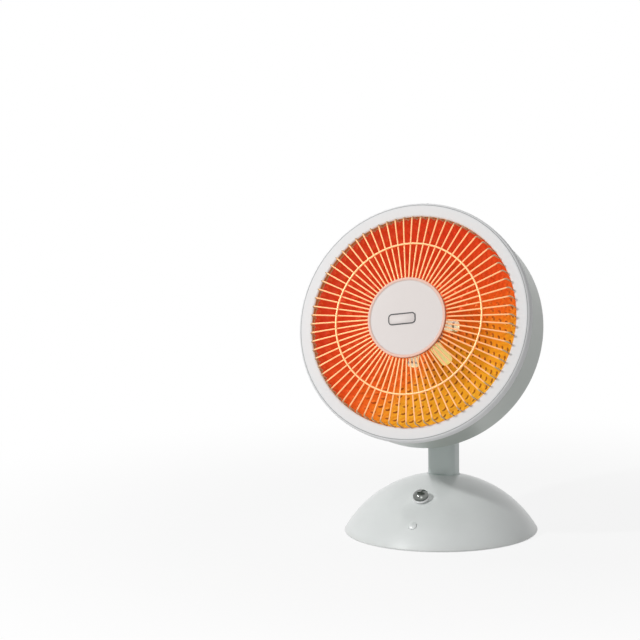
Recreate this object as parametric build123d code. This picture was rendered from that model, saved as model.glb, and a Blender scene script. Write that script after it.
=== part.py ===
from build123d import *
import math
import os

# Quartz dish heater on a domed base. Millimetres, +Z up, the front faces -Y.
# The origin lies on the swivel axis, in the plane that the rubber foot ring stands on.

# Base dome
RIM_RADIUS = 127.2  # where the dome's sphere meets the standing plane
DOME_HEIGHT = 75.0
DOME_FORWARD = 12.4  # the dome's own axis stands ahead of the swivel axis
SHELL_WALL = 3.0
FOOT_HEIGHT = 2.0
PLATE_THICKNESS = 2.2
LAND_RADIUS = 21.4  # shallow pocket in the dome that the neck's collar turns in
LAND_STEP = 0.3  # least depth of that pocket, at its back
BOSS_RADIUS = 15.0
BOSS_BOTTOM = 50.0
SCREW_CIRCLE = 100.0
SCREW_ANGLES = (30, 150, 210, 330)
SCREW_BOSS_RADIUS = 4.6
FOOT_INNER = 104.5
FOOT_OUTER = 112.0
RIM_LIFT = 0.6
DOME_EYE = 5.0  # opening at the dome's pole, which the land's floor closes
RIM_TOP = 3.0

# Controls on the front of the dome
KNOB_FORWARD = 72.0
KNOB_RADIUS = 9.8
KNOB_SHAFT_RADIUS = 3.0
BUTTON_FORWARD = 106.0
BUTTON_RADIUS = 5.5
PLUNGER_RADIUS = 4.0
PLUNGER_FORWARD = 19.0

# Cord inlet at the back
INLET_HEIGHT = 14.0
INLET_RADIUS = 7.9
INLET_BORE = 3.7
INLET_BACK = 119.0
INLET_LENGTH = 15.0

# Swing drive
GEAR_MODULE = 1.25
PINION_TEETH = 18
SECTOR_TEETH = 54  # on the full circle
GEAR_BACKLASH = 0.2
GEAR_BOTTOM = 41.0
GEAR_HEIGHT = 5.0
SECTOR_HALF_ANGLE = 50.0
MOTOR_RADIUS = 25.0
MOTOR_HEIGHT = 18.0
MOTOR_SCREW_SIDE = 28.0

# Neck
NECK_WIDTH = 37.0
NECK_DEPTH = 33.0
NECK_CORNER = 10.0
NECK_WALL = 2.6
NECK_SEAM = 4.0  # the two shells meet behind the swivel axis
COLLAR_RADIUS = 20.9
COLLAR_HEIGHT = 3.4
NECK_SCREW_HEIGHTS = (96.0, 190.0)
NECK_SCREW_SIDE = 12.4
TUBE_RADIUS = 8.0
TUBE_BORE = 6.2
TUBE_BOTTOM = 34.0
TUBE_TOP = 204.0
RUNNING_GAP = 0.05

# Head: its own axis points forward and up, by the tilt that the photograph shows
HEAD_TILT = 19.7
FACE_CENTRE = (0.0, -113.8, 288.7)
PIVOT_BACK = -FACE_CENTRE[1] / math.cos(math.radians(HEAD_TILT))
PIVOT_HEIGHT = FACE_CENTRE[2] - PIVOT_BACK * math.sin(math.radians(HEAD_TILT))
PIN_RADIUS = 4.0
TONGUE_HALF_WIDTH = 8.0
TONGUE_HALF_HEIGHT = 10.0
KNUCKLE_HOLES = [(x, y) for x in (-16, 16) for y in (-12, 12)]

BEZEL_RADIUS = 152.4
BEZEL_OPENING = 134.5
BEZEL_DEPTH = 12.0
DRUM_BACK = 80.0
DRUM_WALL = 2.4
DRUM_CENTRE_BACK = 87.0
DRUM_FLAT_RADIUS = 60.0
VENT_COUNT = 36

DISH_RADIUS = 137.5
DISH_RIM = 10.8
DISH_DEPTH = 76.0
DISH_SHEET = 0.8

SPOKE_COUNT = 72
SPOKE_RADIUS = 0.95
MID_RING_RADIUS = 95.7
MID_RING_WIRE = 1.2
RIM_RING_WIRE = 1.5
SPOKE_INNER = (42.0, 17.0)
SPOKE_MID = (95.7, 13.8)
SPOKE_SHOULDER = (132.3, 11.0)
SPOKE_END = (133.3, -8.5)
SPOKE_CROWN = 400.0  # radius of the slight dome over the mid ring
SPOKE_BEND = 3.2  # radius of the sharp bend at the shoulder
DISC_RADIUS = 51.0
DISC_FRONT = 22.3
RIVET_CIRCLE = 34.0
PLATE_GAP = 0.7  # between the spokes' inner ends and the plate behind them
DISC_RIVET_ANGLES = (90, 210, 330)

ELEMENT_DEPTH = 20.0  # quartz tubes' axis, behind the face
QUARTZ_RADIUS = 5.5
QUARTZ_BORE = 4.3
QUARTZ_INNER = 10.5
QUARTZ_OUTER = 44.0
CAP_RADIUS = 7.5
CAP_INNER = 38.0
CAP_OUTER = 66.0
BUSH_RADIUS = 6.5
BUSH_INNER = 34.0
BUSH_OUTER = 54.0
TUBE_ANGLES = (135, 315)
BUSH_ANGLES = (0, 90, 180, 270)
SPIDER_TOP = ELEMENT_DEPTH + CAP_RADIUS
SPIDER_SHEET = 1.5
POST_RADIUS = 8.0

# Heating coils and the small spring
COIL_LOOPS = 14
COIL_RADIUS = 3.0
COIL_WIRE = 0.4
COIL_PITCH = 2.1
SPRING_LOOPS = 5
SPRING_RADIUS = 5.2
SPRING_WIRE = 0.5
SPRING_PITCH = 2.0

DOME_SPHERE = (RIM_RADIUS**2 + DOME_HEIGHT**2) / (2 * DOME_HEIGHT)
DOME_CENTRE = DOME_HEIGHT - DOME_SPHERE
PINION_DISTANCE = GEAR_MODULE * (PINION_TEETH + SECTOR_TEETH) / 2
PLATE_TOP = FOOT_HEIGHT + PLATE_THICKNESS
DISH_FOCAL = DISH_RADIUS**2 / (4 * (DISH_DEPTH - DISH_RIM))

TOP = (Align.CENTER, Align.CENTER, Align.MAX)
BOTTOM = (Align.CENTER, Align.CENTER, Align.MIN)


def dome_z(radius, inset=0.0):
    """Height of the dome's surface, or of a surface inset under it, at a distance from the axis."""
    return DOME_CENTRE + math.sqrt((DOME_SPHERE - inset) ** 2 - radius**2)


def dish_depth(radius):
    """How far the dish's inner face lies behind the bezel's face, as a negative height."""
    return radius**2 / (4 * DISH_FOCAL) - DISH_DEPTH


def on_dome(forward):
    """Plane on the front of the dome, whose Z axis is the surface's outward normal."""
    height = dome_z(forward)
    normal = Vector(0, -forward, height - DOME_CENTRE).normalized()
    return Plane(origin=(0, -DOME_FORWARD - forward, height), x_dir=(1, 0, 0), z_dir=normal)


def head_plane():
    """The head's own frame: origin at the middle of the bezel's face, Z out of the face."""
    tilt = math.radians(HEAD_TILT)
    return Plane(origin=FACE_CENTRE, x_dir=(1, 0, 0), z_dir=(0, -math.cos(tilt), math.sin(tilt)))


LAND_HEIGHT = dome_z(DOME_FORWARD + LAND_RADIUS) - LAND_STEP
DOME = Pos(0, -DOME_FORWARD, 0)
HEAD = head_plane().location
KNOB = on_dome(KNOB_FORWARD).location
BUTTON = on_dome(BUTTON_FORWARD).location


def turned(outline):
    """Solid of revolution about Z of a closed outline in the XZ plane."""
    return revolve(make_face(outline), Axis.Z)


def crown(radius, low, high):
    """Arc of a shallow cap, from its rim up to its top on the axis."""
    sphere = (radius**2 + (high - low) ** 2) / (2 * (high - low))
    middle = high - sphere + math.sqrt(sphere**2 - radius**2 / 4)
    return ThreePointArc((radius, 0, low), (radius / 2, 0, middle), (0, 0, high))


def profile(*corners):
    """Closed outline of straight runs, from (radius, height) corners."""
    return Polyline(*[(r, 0, z) for r, z in corners], close=True)


def soft_profile(*corners):
    """Closed outline from (radius, height, corner radius)."""
    points = [(r, 0, z) for r, z, _ in corners]
    return FilletPolyline(*points, radius=[c for _, _, c in corners], close=True)


def ring(inner, outer, low, high):
    """Flat ring or tube about Z."""
    tube = Pos(0, 0, low) * Cylinder(outer, high - low, align=BOTTOM)
    if inner > 0:
        tube -= Pos(0, 0, low - 1) * Cylinder(inner, high - low + 2, align=BOTTOM)
    return tube


def around(shape, angles):
    """Copies of a shape, turned about Z."""
    return [Rot(0, 0, angle) * shape for angle in angles]


def group(shapes):
    """Several separate solids in one node."""
    return Compound(children=[solid for shape in shapes for solid in shape.solids()])


def screw(radius, length, head_radius, head_height):
    """Pan-head screw along Z: its head on top of z = 0, its shank below."""
    head = Cylinder(head_radius, head_height, align=BOTTOM)
    head = fillet(head.edges().group_by(Axis.Z)[-1], head_height * 0.45)
    slot = Box(head_radius * 1.3, 0.8, head_height, align=BOTTOM)
    cross = slot + Rot(0, 0, 90) * slot
    head -= Pos(0, 0, head_height * 0.45) * cross
    return head + Cylinder(radius, length, align=TOP)


def biarc(start, start_dir, end, end_dir):
    """Two circular arcs that join two points along their tangents."""
    chord = end - start
    both = start_dir + end_dir
    a = 2 * start_dir.dot(end_dir) - 2
    b = -2 * chord.dot(both)
    c = chord.dot(chord)
    reach = (-b - math.sqrt(b * b - 4 * a * c)) / (2 * a)
    first = start + start_dir * reach
    last = end - end_dir * reach
    joint = (first + last) * 0.5
    arcs = []
    for p, corner, q in ((start, first, joint), (joint, last, end)):
        middle = (p + q) * 0.5
        half = (q - p).length / 2
        rise = corner - middle
        bend = math.atan2(rise.length, half)
        arcs.append(ThreePointArc(p, middle + rise.normalized() * half * math.tan(bend / 2), q))
    return arcs


def coil(loops, radius, wire, pitch):
    """One unbroken wound wire along Z, centred on the origin, with short straight ends."""
    spans = loops * 4

    def point(k):
        turn = math.tau * k / 4
        return Vector(radius * math.cos(turn), radius * math.sin(turn), pitch * (k - spans / 2) / 4)

    def tangent(k):
        turn = math.tau * k / 4
        rise = pitch / math.tau
        return Vector(-radius * math.sin(turn), radius * math.cos(turn), rise).normalized()

    start = point(0) - tangent(0) * 2 * wire
    end = point(spans) + tangent(spans) * 2 * wire
    edges = [Line(start, point(0))]
    for k in range(spans):
        edges += biarc(point(k), tangent(k), point(k + 1), tangent(k + 1))
    edges.append(Line(point(spans), end))
    section = Plane(origin=start, z_dir=tangent(0)) * Circle(wire)
    samples = [point(k / 4) for k in range(spans * 4 + 1)]
    apart = [
        (samples[i] - samples[j]).length
        for i in range(len(samples))
        for j in range(i + 12, len(samples))
    ]
    print(f"coil of {loops} loops, least gap to itself {min(apart) - 2 * wire:.2f} mm")
    return sweep(section, path=Wire([edge for arc in edges for edge in arc.edges()]))


def tooth_outline(teeth, root, tip, angles):
    """Outline points of involute teeth centred on the given angles, in degrees."""
    pitch = GEAR_MODULE * teeth / 2
    base = pitch * math.cos(math.radians(20))

    def inv(radius):
        slope = math.acos(min(1.0, base / max(radius, base)))
        return math.tan(slope) - slope

    half = math.pi / (2 * teeth) - GEAR_BACKLASH / (2 * pitch) + inv(pitch)
    steps = 5
    flank = [max(base, root) + (tip - max(base, root)) * k / steps for k in range(steps + 1)]
    points = []
    for centre in angles:
        middle = math.radians(centre)
        rise = [(root, half)] + [(r, half - inv(r)) for r in flank if r > root]
        for r, a in rise:
            points.append((r * math.cos(middle - a), r * math.sin(middle - a)))
        for r, a in reversed(rise):
            points.append((r * math.cos(middle + a), r * math.sin(middle + a)))
    return points


def base_shell():
    inner = DOME_SPHERE - SHELL_WALL
    rim = math.sqrt(DOME_SPHERE**2 - (RIM_TOP - DOME_CENTRE) ** 2)
    seat = math.sqrt(inner**2 - (PLATE_TOP - DOME_CENTRE) ** 2)
    bore = TUBE_RADIUS + 3
    middle = 80.0
    top = (DOME_EYE, 0, dome_z(DOME_EYE))
    under = (DOME_EYE, 0, dome_z(DOME_EYE, SHELL_WALL))
    outline = [
        ThreePointArc(top, (middle, 0, dome_z(middle)), (rim, 0, RIM_TOP)),
        ThreePointArc((rim, 0, RIM_TOP), (rim - 0.4, 0, 1.4), (rim - 1.8, 0, RIM_LIFT)),
        Line((rim - 1.8, 0, RIM_LIFT), (seat, 0, RIM_LIFT)),
        Line((seat, 0, RIM_LIFT), (seat, 0, PLATE_TOP)),
        ThreePointArc((seat, 0, PLATE_TOP), (middle, 0, dome_z(middle, SHELL_WALL)), under),
        Line(under, top),
    ]
    shell = turned(outline)
    boss = Pos(SCREW_CIRCLE, 0, PLATE_TOP) * Cylinder(SCREW_BOSS_RADIUS, 60, align=BOTTOM)
    boss &= Pos(0, 0, DOME_CENTRE) * Sphere(DOME_SPHERE - 1)
    pilot = Pos(SCREW_CIRCLE, 0, PLATE_TOP - 1) * Cylinder(1.5, 15, align=BOTTOM)
    for angle in SCREW_ANGLES:
        shell += Rot(0, 0, angle) * boss
    for angle in SCREW_ANGLES:
        shell -= Rot(0, 0, angle) * pilot
    shell = DOME * shell
    floor = ring(0, LAND_RADIUS + 3, LAND_HEIGHT - 5, DOME_HEIGHT)
    shell += floor & (DOME * Pos(0, 0, DOME_CENTRE) * Sphere(DOME_SPHERE - 1))
    shell += ring(0, BOSS_RADIUS, BOSS_BOTTOM, LAND_HEIGHT - 2)
    shell -= ring(0, LAND_RADIUS, LAND_HEIGHT, DOME_HEIGHT + 5)
    shell -= ring(0, bore, BOSS_BOTTOM - 5, DOME_HEIGHT)
    shell -= KNOB * Cylinder(4.7, 20)
    shell -= BUTTON * Cylinder(BUTTON_RADIUS + 0.3, 20)
    inlet = Pos(0, INLET_BACK, INLET_HEIGHT) * Rot(90, 0, 0) * Cylinder(INLET_RADIUS + 0.1, 60)
    return shell - DOME * inlet


def base_plate():
    plate = ring(0, 120.6, FOOT_HEIGHT, PLATE_TOP)
    for angle in SCREW_ANGLES:
        plate -= Rot(0, 0, angle) * Pos(SCREW_CIRCLE, 0, 0) * Cylinder(1.8, 20)
    plate -= Pos(0, -PLUNGER_FORWARD, 0) * Cylinder(PLUNGER_RADIUS + RUNNING_GAP, 20)
    return DOME * plate


def foot_ring():
    foot = ring(FOOT_INNER, FOOT_OUTER, 0, FOOT_HEIGHT)
    return DOME * chamfer(foot.edges().group_by(Axis.Z)[0], 0.5)


def base_screws():
    one = Pos(SCREW_CIRCLE, 0, FOOT_HEIGHT) * Rot(180, 0, 0) * screw(1.45, 12, 3.0, 1.6)
    return DOME * group(around(one, SCREW_ANGLES))


def ballast_ring():
    ballast = ring(35, 88, PLATE_TOP, PLATE_TOP + 8)
    edges = ballast.edges().group_by(Axis.Z)[-1]
    return DOME * chamfer(edges, 1)


def swivel_bush():
    return ring(TUBE_RADIUS + RUNNING_GAP, TUBE_RADIUS + 2.95, BOSS_BOTTOM, LAND_HEIGHT)


def thrust_washer():
    return ring(TUBE_RADIUS + 0.4, LAND_RADIUS - 2, LAND_HEIGHT, LAND_HEIGHT + 0.45)


def swing_motor():
    top = GEAR_BOTTOM - 6
    case = Pos(0, PINION_DISTANCE, top) * Cylinder(MOTOR_RADIUS, MOTOR_HEIGHT, align=TOP)
    case = fillet(case.edges(), 1.5)
    ears = Pos(0, PINION_DISTANCE, top) * Box(62, 8, 1.2, align=TOP)
    motor = case + ears - Pos(0, PINION_DISTANCE, top) * Cylinder(1.6, 12)
    return drill_ears(motor)


def drill_ears(shape):
    """Cuts the two motor screws' holes."""
    for x in (-MOTOR_SCREW_SIDE, MOTOR_SCREW_SIDE):
        shape -= Pos(x, PINION_DISTANCE, GEAR_BOTTOM) * Cylinder(1.25, 30)
    return shape


def motor_bracket():
    top = GEAR_BOTTOM - 4
    plate = Pos(0, PINION_DISTANCE, top) * Box(70, 18, 2, align=TOP)
    leg = Pos(34, PINION_DISTANCE, PLATE_TOP + 8) * Box(2, 18, top - PLATE_TOP - 8, align=BOTTOM)
    toe = Pos(39, PINION_DISTANCE, PLATE_TOP + 8) * Box(10, 18, 2, align=BOTTOM)
    bracket = plate + leg + toe + mirror(leg, Plane.YZ) + mirror(toe, Plane.YZ)
    return drill_ears(bracket - Pos(0, PINION_DISTANCE, top) * Cylinder(5, 12))


def motor_screws():
    one = Pos(MOTOR_SCREW_SIDE, PINION_DISTANCE, GEAR_BOTTOM - 4) * screw(1.2, 3.1, 2.4, 1.4)
    return group([one, mirror(one, Plane.YZ)])


def heat_switch():
    body = Pos(0, 0, -4.1) * Box(24, 24, 13.3, align=TOP)
    body = fillet(body.edges().filter_by(Axis.Z), 2)
    neck = Pos(0, 0, -4.1) * Cylinder(4.5, 5.9, align=BOTTOM)
    tabs = [Pos(x, 4, -17.4) * Box(5, 0.8, 6, align=TOP) for x in (-8, 0, 8)]
    switch = body + neck + tabs
    return KNOB * (switch - Pos(0, 0, 5) * Cylinder(KNOB_SHAFT_RADIUS + RUNNING_GAP, 18, align=TOP))


def switch_nut():
    nut = extrude(RegularPolygon(6.2, 6), 1.4)
    return KNOB * (Pos(0, 0, 0.15) * (nut - Cylinder(4.55, 10)))


def knob_shaft():
    shaft = Pos(0, 0, -12.5) * Cylinder(KNOB_SHAFT_RADIUS, 20.5, align=BOTTOM)
    flat = Pos(0, 2.4, 2.6) * Box(8, 2, 8, align=(Align.CENTER, Align.MIN, Align.MIN))
    return KNOB * (shaft - flat)


def knob_skirt():
    outline = soft_profile(
        (7.2, 2.0, 0), (KNOB_RADIUS + 1.0, 2.0, 0.6), (KNOB_RADIUS + 0.4, 4.6, 0.8), (4.2, 4.6, 0),
        (4.2, 3.0, 0), (7.2, 3.0, 0),
    )
    return KNOB * turned(outline)


def knob_cap():
    low, high = 4.6, 13.5
    outline = [
        Line((KNOB_SHAFT_RADIUS, 0, low), (KNOB_RADIUS - 0.8, 0, low)),
        ThreePointArc((KNOB_RADIUS - 0.8, 0, low), (KNOB_RADIUS - 0.2, 0, low + 0.3), (KNOB_RADIUS, 0, low + 1)),
        Line((KNOB_RADIUS, 0, low + 1), (KNOB_RADIUS, 0, low + 3.4)),
        crown(KNOB_RADIUS, low + 3.4, high),
        Line((0, 0, high), (0, 0, 8)),
        Line((0, 0, 8), (KNOB_SHAFT_RADIUS, 0, 8)),
        Line((KNOB_SHAFT_RADIUS, 0, 8), (KNOB_SHAFT_RADIUS, 0, low)),
    ]
    return KNOB * turned(outline)


def swing_button():
    high = 1.9
    outline = [
        Line((0, 0, -8), (BUTTON_RADIUS, 0, -8)),
        Line((BUTTON_RADIUS, 0, -8), (BUTTON_RADIUS, 0, 0.7)),
        crown(BUTTON_RADIUS, 0.7, high),
        Line((0, 0, high), (0, 0, -8)),
    ]
    stem = Pos(0, 0, -8) * Cylinder(2, 3.5, align=TOP)
    return BUTTON * (turned(outline) + stem)


def swing_switch():
    case = Pos(0, 0, -9.8) * Box(12, 12, 9, align=TOP)
    case -= Pos(0, 0, -9.8) * Cylinder(2.1, 4, align=TOP)
    cheek = Pos(6.7, 0, -18.8) * Box(1.6, 8, 14.5, align=BOTTOM)
    return BUTTON * (case + cheek + mirror(cheek, Plane.YZ))


def plunger_at(shape):
    return DOME * Pos(0, -PLUNGER_FORWARD, 0) * shape


def tip_plunger():
    """Pushed up by the floor while the heater stands: its tip rests just above the feet's plane."""
    pin = Pos(0, 0, 0.2) * Cylinder(PLUNGER_RADIUS, 17.8, align=BOTTOM)
    pin = fillet(pin.edges().group_by(Axis.Z)[0], 1.5)
    flange = Pos(0, 0, 9.0) * Cylinder(6.5, 1.6, align=BOTTOM)
    return plunger_at(pin + flange)


def tip_spring():
    height = SPRING_LOOPS * SPRING_PITCH
    wound = coil(SPRING_LOOPS, SPRING_RADIUS, SPRING_WIRE, SPRING_PITCH)
    return plunger_at(Pos(0, 0, 10.9 + SPRING_WIRE + height / 2) * wound)


def tip_switch():
    """Housing that stands on the plate round the plunger, with the switch on top."""
    sleeve = ring(7.0, 9.0, PLATE_TOP, 22.5)
    roof = ring(0, 9.0, 22.5, 24.0)
    switch = Pos(0, 0, 24.0) * Box(18, 10, 7, align=BOTTOM)
    foot = Pos(0, 0, PLATE_TOP) * Box(26, 8, 2, align=BOTTOM)
    foot -= Cylinder(7.5, 40)
    return plunger_at(sleeve + roof + switch + foot)


def terminal_block():
    block = Box(36, 14, 9, align=BOTTOM)
    block = fillet(block.edges().filter_by(Axis.Z), 1.5)
    for x in (-12, 0, 12):
        block -= Pos(x, 0, 5) * Cylinder(2.6, 5, align=BOTTOM)
        block -= Pos(x, 0, 3.5) * Rot(90, 0, 0) * Cylinder(1.6, 30)
    return DOME * Pos(-58, 12, PLATE_TOP + 8) * block


def cord_inlet():
    """Gland body with an inner flange. The cord itself isn't part of the model."""
    body = Cylinder(INLET_RADIUS, INLET_LENGTH, align=BOTTOM)
    body = fillet(body.edges().group_by(Axis.Z)[-1], 1.2)
    flange = Cylinder(INLET_RADIUS + 1.6, 2.5, align=BOTTOM)
    gland = body + flange - Cylinder(INLET_BORE, 80)
    return DOME * Pos(0, INLET_BACK - INLET_LENGTH, INLET_HEIGHT) * Rot(-90, 0, 0) * gland


def cord_clamp():
    saddle = Box(30, 8, 13, align=BOTTOM) - Pos(0, 0, 9.8) * Rot(90, 0, 0) * Cylinder(4.2, 20)
    saddle -= Pos(0, 0, 11) * Box(8.4, 20, 8, align=BOTTOM)
    for x in (-11, 11):
        saddle -= Pos(x, 0, 8) * Cylinder(1.4, 8, align=BOTTOM)
    return DOME * Pos(0, 96, PLATE_TOP) * saddle


def motor_pinion():
    root = GEAR_MODULE * PINION_TEETH / 2 - 1.2 * GEAR_MODULE
    tip = GEAR_MODULE * PINION_TEETH / 2 + 0.9 * GEAR_MODULE
    angles = [k * 360 / PINION_TEETH for k in range(PINION_TEETH)]
    face = make_face(Polyline(*tooth_outline(PINION_TEETH, root, tip, angles), close=True))
    gear = Pos(0, 0, GEAR_BOTTOM) * extrude(face, GEAR_HEIGHT)
    hub = Pos(0, 0, GEAR_BOTTOM - 2) * Cylinder(4.8, 9, align=BOTTOM)
    shaft = Pos(0, 0, GEAR_BOTTOM - 10) * Cylinder(1.5, 18, align=BOTTOM)
    return Pos(0, PINION_DISTANCE, 0) * (gear + hub + shaft)


def sector_gear():
    root = GEAR_MODULE * SECTOR_TEETH / 2 - 1.2 * GEAR_MODULE
    tip = GEAR_MODULE * SECTOR_TEETH / 2 + 0.9 * GEAR_MODULE
    step = 360 / SECTOR_TEETH
    each_side = int(SECTOR_HALF_ANGLE / step)
    angles = [90 + k * step for k in range(-each_side, each_side + 1)]
    points = tooth_outline(SECTOR_TEETH, root, tip, angles)
    points += [(-9, 8), (9, 8)]
    blade = Pos(0, 0, GEAR_BOTTOM) * extrude(make_face(Polyline(*points, close=True)), GEAR_HEIGHT)
    hub = Pos(0, 0, GEAR_BOTTOM) * Cylinder(13, 8.6, align=BOTTOM)
    window = Pos(0, 22, GEAR_BOTTOM) * Cylinder(4.5, 20)
    gear = blade + hub - Pos(0, 0, GEAR_BOTTOM) * Cylinder(TUBE_RADIUS + 0.02, 40)
    for side in (-1, 1):
        gear -= Rot(0, 0, side * 28) * window
    return gear


def neck_form(inset):
    """The column's form: a rounded rectangle with a half-round top about the hinge axis."""
    section = RectangleRounded(NECK_WIDTH - 2 * inset, NECK_DEPTH - 2 * inset, NECK_CORNER - inset)
    column = Pos(0, 0, LAND_HEIGHT + 0.6) * extrude(section, 240)
    round_top = Pos(0, 0, PIVOT_HEIGHT) * Rot(0, 90, 0) * Cylinder(NECK_DEPTH / 2 - inset, 60)
    straight = Box(60, 60, PIVOT_HEIGHT, align=BOTTOM)
    return column & (straight + round_top)


def neck_hull():
    """Both shells in one, hollow, with the round collar and the slot for the head's tongue."""
    low = LAND_HEIGHT + 0.6
    flare = [
        Line((9, 0, low), (COLLAR_RADIUS, 0, low)),
        Line((COLLAR_RADIUS, 0, low), (COLLAR_RADIUS, 0, low + 1.6)),
        ThreePointArc(
            (COLLAR_RADIUS, 0, low + 1.6),
            (COLLAR_RADIUS - 0.6, 0, low + 2.8),
            (COLLAR_RADIUS - 2.0, 0, low + COLLAR_HEIGHT),
        ),
        Line((COLLAR_RADIUS - 2.0, 0, low + COLLAR_HEIGHT), (9, 0, low + COLLAR_HEIGHT)),
        Line((9, 0, low + COLLAR_HEIGHT), (9, 0, low)),
    ]
    inside = neck_form(NECK_WALL) - Box(60, 60, low + COLLAR_HEIGHT, align=BOTTOM)
    hull = neck_form(0) + turned(flare) - inside
    hull -= Cylinder(TUBE_RADIUS + 0.3, 200)
    slot = Pos(0, -2, PIVOT_HEIGHT - 12.5) * Box(2 * TONGUE_HALF_WIDTH + 1.4, 40, 60, align=BOTTOM)
    front = Box(100, 40, 200, align=(Align.CENTER, Align.MAX, Align.MIN))
    slot &= Pos(0, 9, PIVOT_HEIGHT - 40) * front
    return hull - slot


def neck_shells():
    """Front and rear shell, parted behind the tube by a hairline seam, with ledges for screws."""
    hull = neck_hull()
    big = Box(80, 60, 320, align=(Align.CENTER, Align.MIN, Align.MIN))
    rear_half = Pos(0, NECK_SEAM + 0.1, 0) * big
    front_half = Pos(0, NECK_SEAM - 60, 0) * big
    front = hull & front_half
    rear = hull & rear_half
    keep = neck_form(1.0)
    for z in NECK_SCREW_HEIGHTS:
        tower = Pos(9.2, 0, z) * Box(8, 18, 7, align=(Align.MIN, Align.MIN, Align.CENTER))
        hole = Pos(NECK_SCREW_SIDE, -1, z) * Rot(-90, 0, 0) * Cylinder(1.3, 40, align=BOTTOM)
        shank = Pos(NECK_SCREW_SIDE, NECK_SEAM, z) * Rot(-90, 0, 0) * Cylinder(1.7, 40, align=BOTTOM)
        sink = Pos(NECK_SCREW_SIDE, NECK_DEPTH / 2 - 3.6, z) * Rot(-90, 0, 0)
        sink *= Cylinder(3.1, 40, align=BOTTOM)
        front_tower = tower & front_half & keep
        rear_tower = tower & rear_half & keep
        front += [front_tower, mirror(front_tower, Plane.YZ)]
        rear += [rear_tower, mirror(rear_tower, Plane.YZ)]
        front -= [hole, mirror(hole, Plane.YZ)]
        rear -= [shank, mirror(shank, Plane.YZ), sink, mirror(sink, Plane.YZ)]
    return front, rear


def neck_screws():
    screws = []
    for z in NECK_SCREW_HEIGHTS:
        for x in (-NECK_SCREW_SIDE, NECK_SCREW_SIDE):
            one = Rot(-90, 0, 0) * screw(1.25, 11.5, 2.7, 1.6)
            screws.append(Pos(x, NECK_DEPTH / 2 - 3.6, z) * one)
    return group(screws)


def neck_tube():
    return ring(TUBE_BORE, TUBE_RADIUS, TUBE_BOTTOM, TUBE_TOP)


def tilt_fork():
    """Steel fork on top of the tube, with a web plate and two ears round the hinge pin."""
    gap = TONGUE_HALF_WIDTH + 0.4
    web = Pos(0, 0, TUBE_TOP) * Box(2 * gap + 4, 16, 2.5, align=BOTTOM)
    web -= Pos(0, 0, TUBE_TOP) * Cylinder(TUBE_BORE, 20)
    ear = Pos(gap, 0, TUBE_TOP) * Box(
        2, 16, PIVOT_HEIGHT - TUBE_TOP, align=(Align.MIN, Align.CENTER, Align.MIN)
    )
    ear += Pos(gap, 0, PIVOT_HEIGHT) * Rot(0, 90, 0) * Cylinder(8, 2, align=BOTTOM)
    fork = web + ear + mirror(ear, Plane.YZ)
    return fork - Pos(0, 0, PIVOT_HEIGHT) * Rot(0, 90, 0) * Cylinder(PIN_RADIUS + 0.02, 60)


def hinge_pin():
    gap = TONGUE_HALF_WIDTH + 2.4
    shank = Pos(-gap, 0, 0) * Rot(0, 90, 0) * Cylinder(PIN_RADIUS, 2 * gap + 4.6, align=BOTTOM)
    head = Pos(-gap, 0, 0) * Rot(0, -90, 0) * Cylinder(6.5, 3, align=BOTTOM)
    return Pos(0, 0, PIVOT_HEIGHT) * (shank + head)


def hinge_nut():
    nut = extrude(RegularPolygon(7.2, 6), 4) - Cylinder(PIN_RADIUS + 0.02, 20)
    return Pos(TONGUE_HALF_WIDTH + 2.4, 0, PIVOT_HEIGHT) * Rot(0, 90, 0) * nut


def friction_washers():
    washer = ring(PIN_RADIUS + 0.1, 8, TONGUE_HALF_WIDTH + 0.06, TONGUE_HALF_WIDTH + 0.38)
    one = Pos(0, 0, PIVOT_HEIGHT) * Rot(0, 90, 0) * washer
    return group([one, mirror(one, Plane.YZ)])


def bezel():
    outline = soft_profile(
        (BEZEL_OPENING, -6.9, 0), (BEZEL_OPENING, 0, 2.4), (BEZEL_RADIUS, 0, 4.5),
        (BEZEL_RADIUS, -BEZEL_DEPTH, 0), (147.5, -BEZEL_DEPTH, 0), (147.5, -2.6, 2.0),
        (137.2, -2.6, 0), (137.2, -6.9, 0),
    )
    return HEAD * turned(outline)


def drum_shell():
    front = -BEZEL_DEPTH - 0.5
    outline = soft_profile(
        (144.8, -4, 0), (147.2, -4, 0), (147.2, front, 0), (149.6, front, 0.5),
        (148.4, -DRUM_BACK, 9.0), (DRUM_FLAT_RADIUS, -DRUM_CENTRE_BACK, 12.0),
        (7, -DRUM_CENTRE_BACK, 0), (7, -DRUM_CENTRE_BACK + DRUM_WALL, 0),
        (DRUM_FLAT_RADIUS, -DRUM_CENTRE_BACK + DRUM_WALL, 12.0),
        (146.0, -DRUM_BACK + DRUM_WALL, 6.5), (147.1, -19, 0), (141.0, -13.0, 0),
        (141.0, -DISH_RIM, 0), (144.8, -DISH_RIM, 0),
    )
    drum = turned(outline)
    slot = Pos(104, 0, -84) * extrude(SlotOverall(38, 4.2), 30, both=True)
    for cut in around(slot, [k * 360 / VENT_COUNT for k in range(VENT_COUNT)]):
        drum -= cut
    for x, y in KNUCKLE_HOLES:
        drum -= Pos(x, y, -DRUM_CENTRE_BACK) * Cylinder(1.7, 12)
    return HEAD * drum


def bezel_lock_screw():
    """One small screw at the top of the drum holds the bezel from turning."""
    one = Rot(-90, 0, 0) * screw(1.2, 7.0, 2.4, 1.2)
    return HEAD * (Pos(0, BEZEL_RADIUS, -9) * one)


def bezel_screw_holes(shape):
    hole = HEAD * (Pos(0, BEZEL_RADIUS, -9) * Rot(-90, 0, 0) * Cylinder(1.22, 14))
    return shape - hole


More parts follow.
